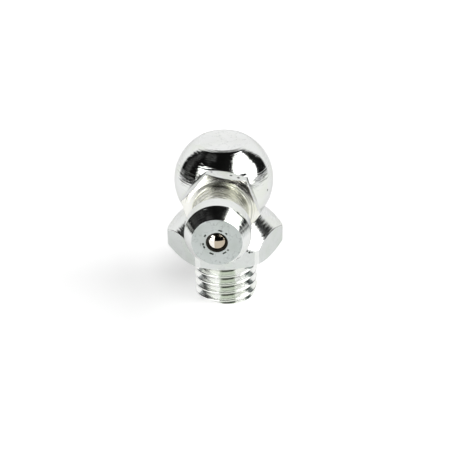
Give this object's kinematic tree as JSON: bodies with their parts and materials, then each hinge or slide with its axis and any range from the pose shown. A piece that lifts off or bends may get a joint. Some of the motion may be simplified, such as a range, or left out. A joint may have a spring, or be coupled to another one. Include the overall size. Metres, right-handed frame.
{
  "type": "grease nipple",
  "caption": "Right-angle grease nipple: threaded stem with a hexagon, ball shaped head, and a side nipple with a sprung check ball.",
  "frame": {"origin": "middle of the end face of the threaded stem", "axes": "+Z along the stem from its end towards the ball, -Y along the nipple towards its mouth, +X to the right seen from the mouth"},
  "size_m": [0.0124, 0.0195, 0.0181],
  "materials": {
    "zinc_plated_steel": "bright zinc plate over turned steel",
    "bearing_steel": "ground and polished",
    "spring_steel": "drawn wire"
  },
  "bodies": {
    "fitting": {"angle_body": "zinc_plated_steel", "nipple_insert": "zinc_plated_steel", "valve_spring": "spring_steel"},
    "ball": {"check_ball": "bearing_steel"}
  },
  "joints": [
    {"name": "check_ball_travel", "type": "slide", "parent": "fitting", "child": "ball", "axis": [0, 1, 0], "range_m": [0, 0.0008], "stiffness_N_per_m": 400, "springref_m": -0.001, "deforming": ["valve_spring"]}
  ]
}
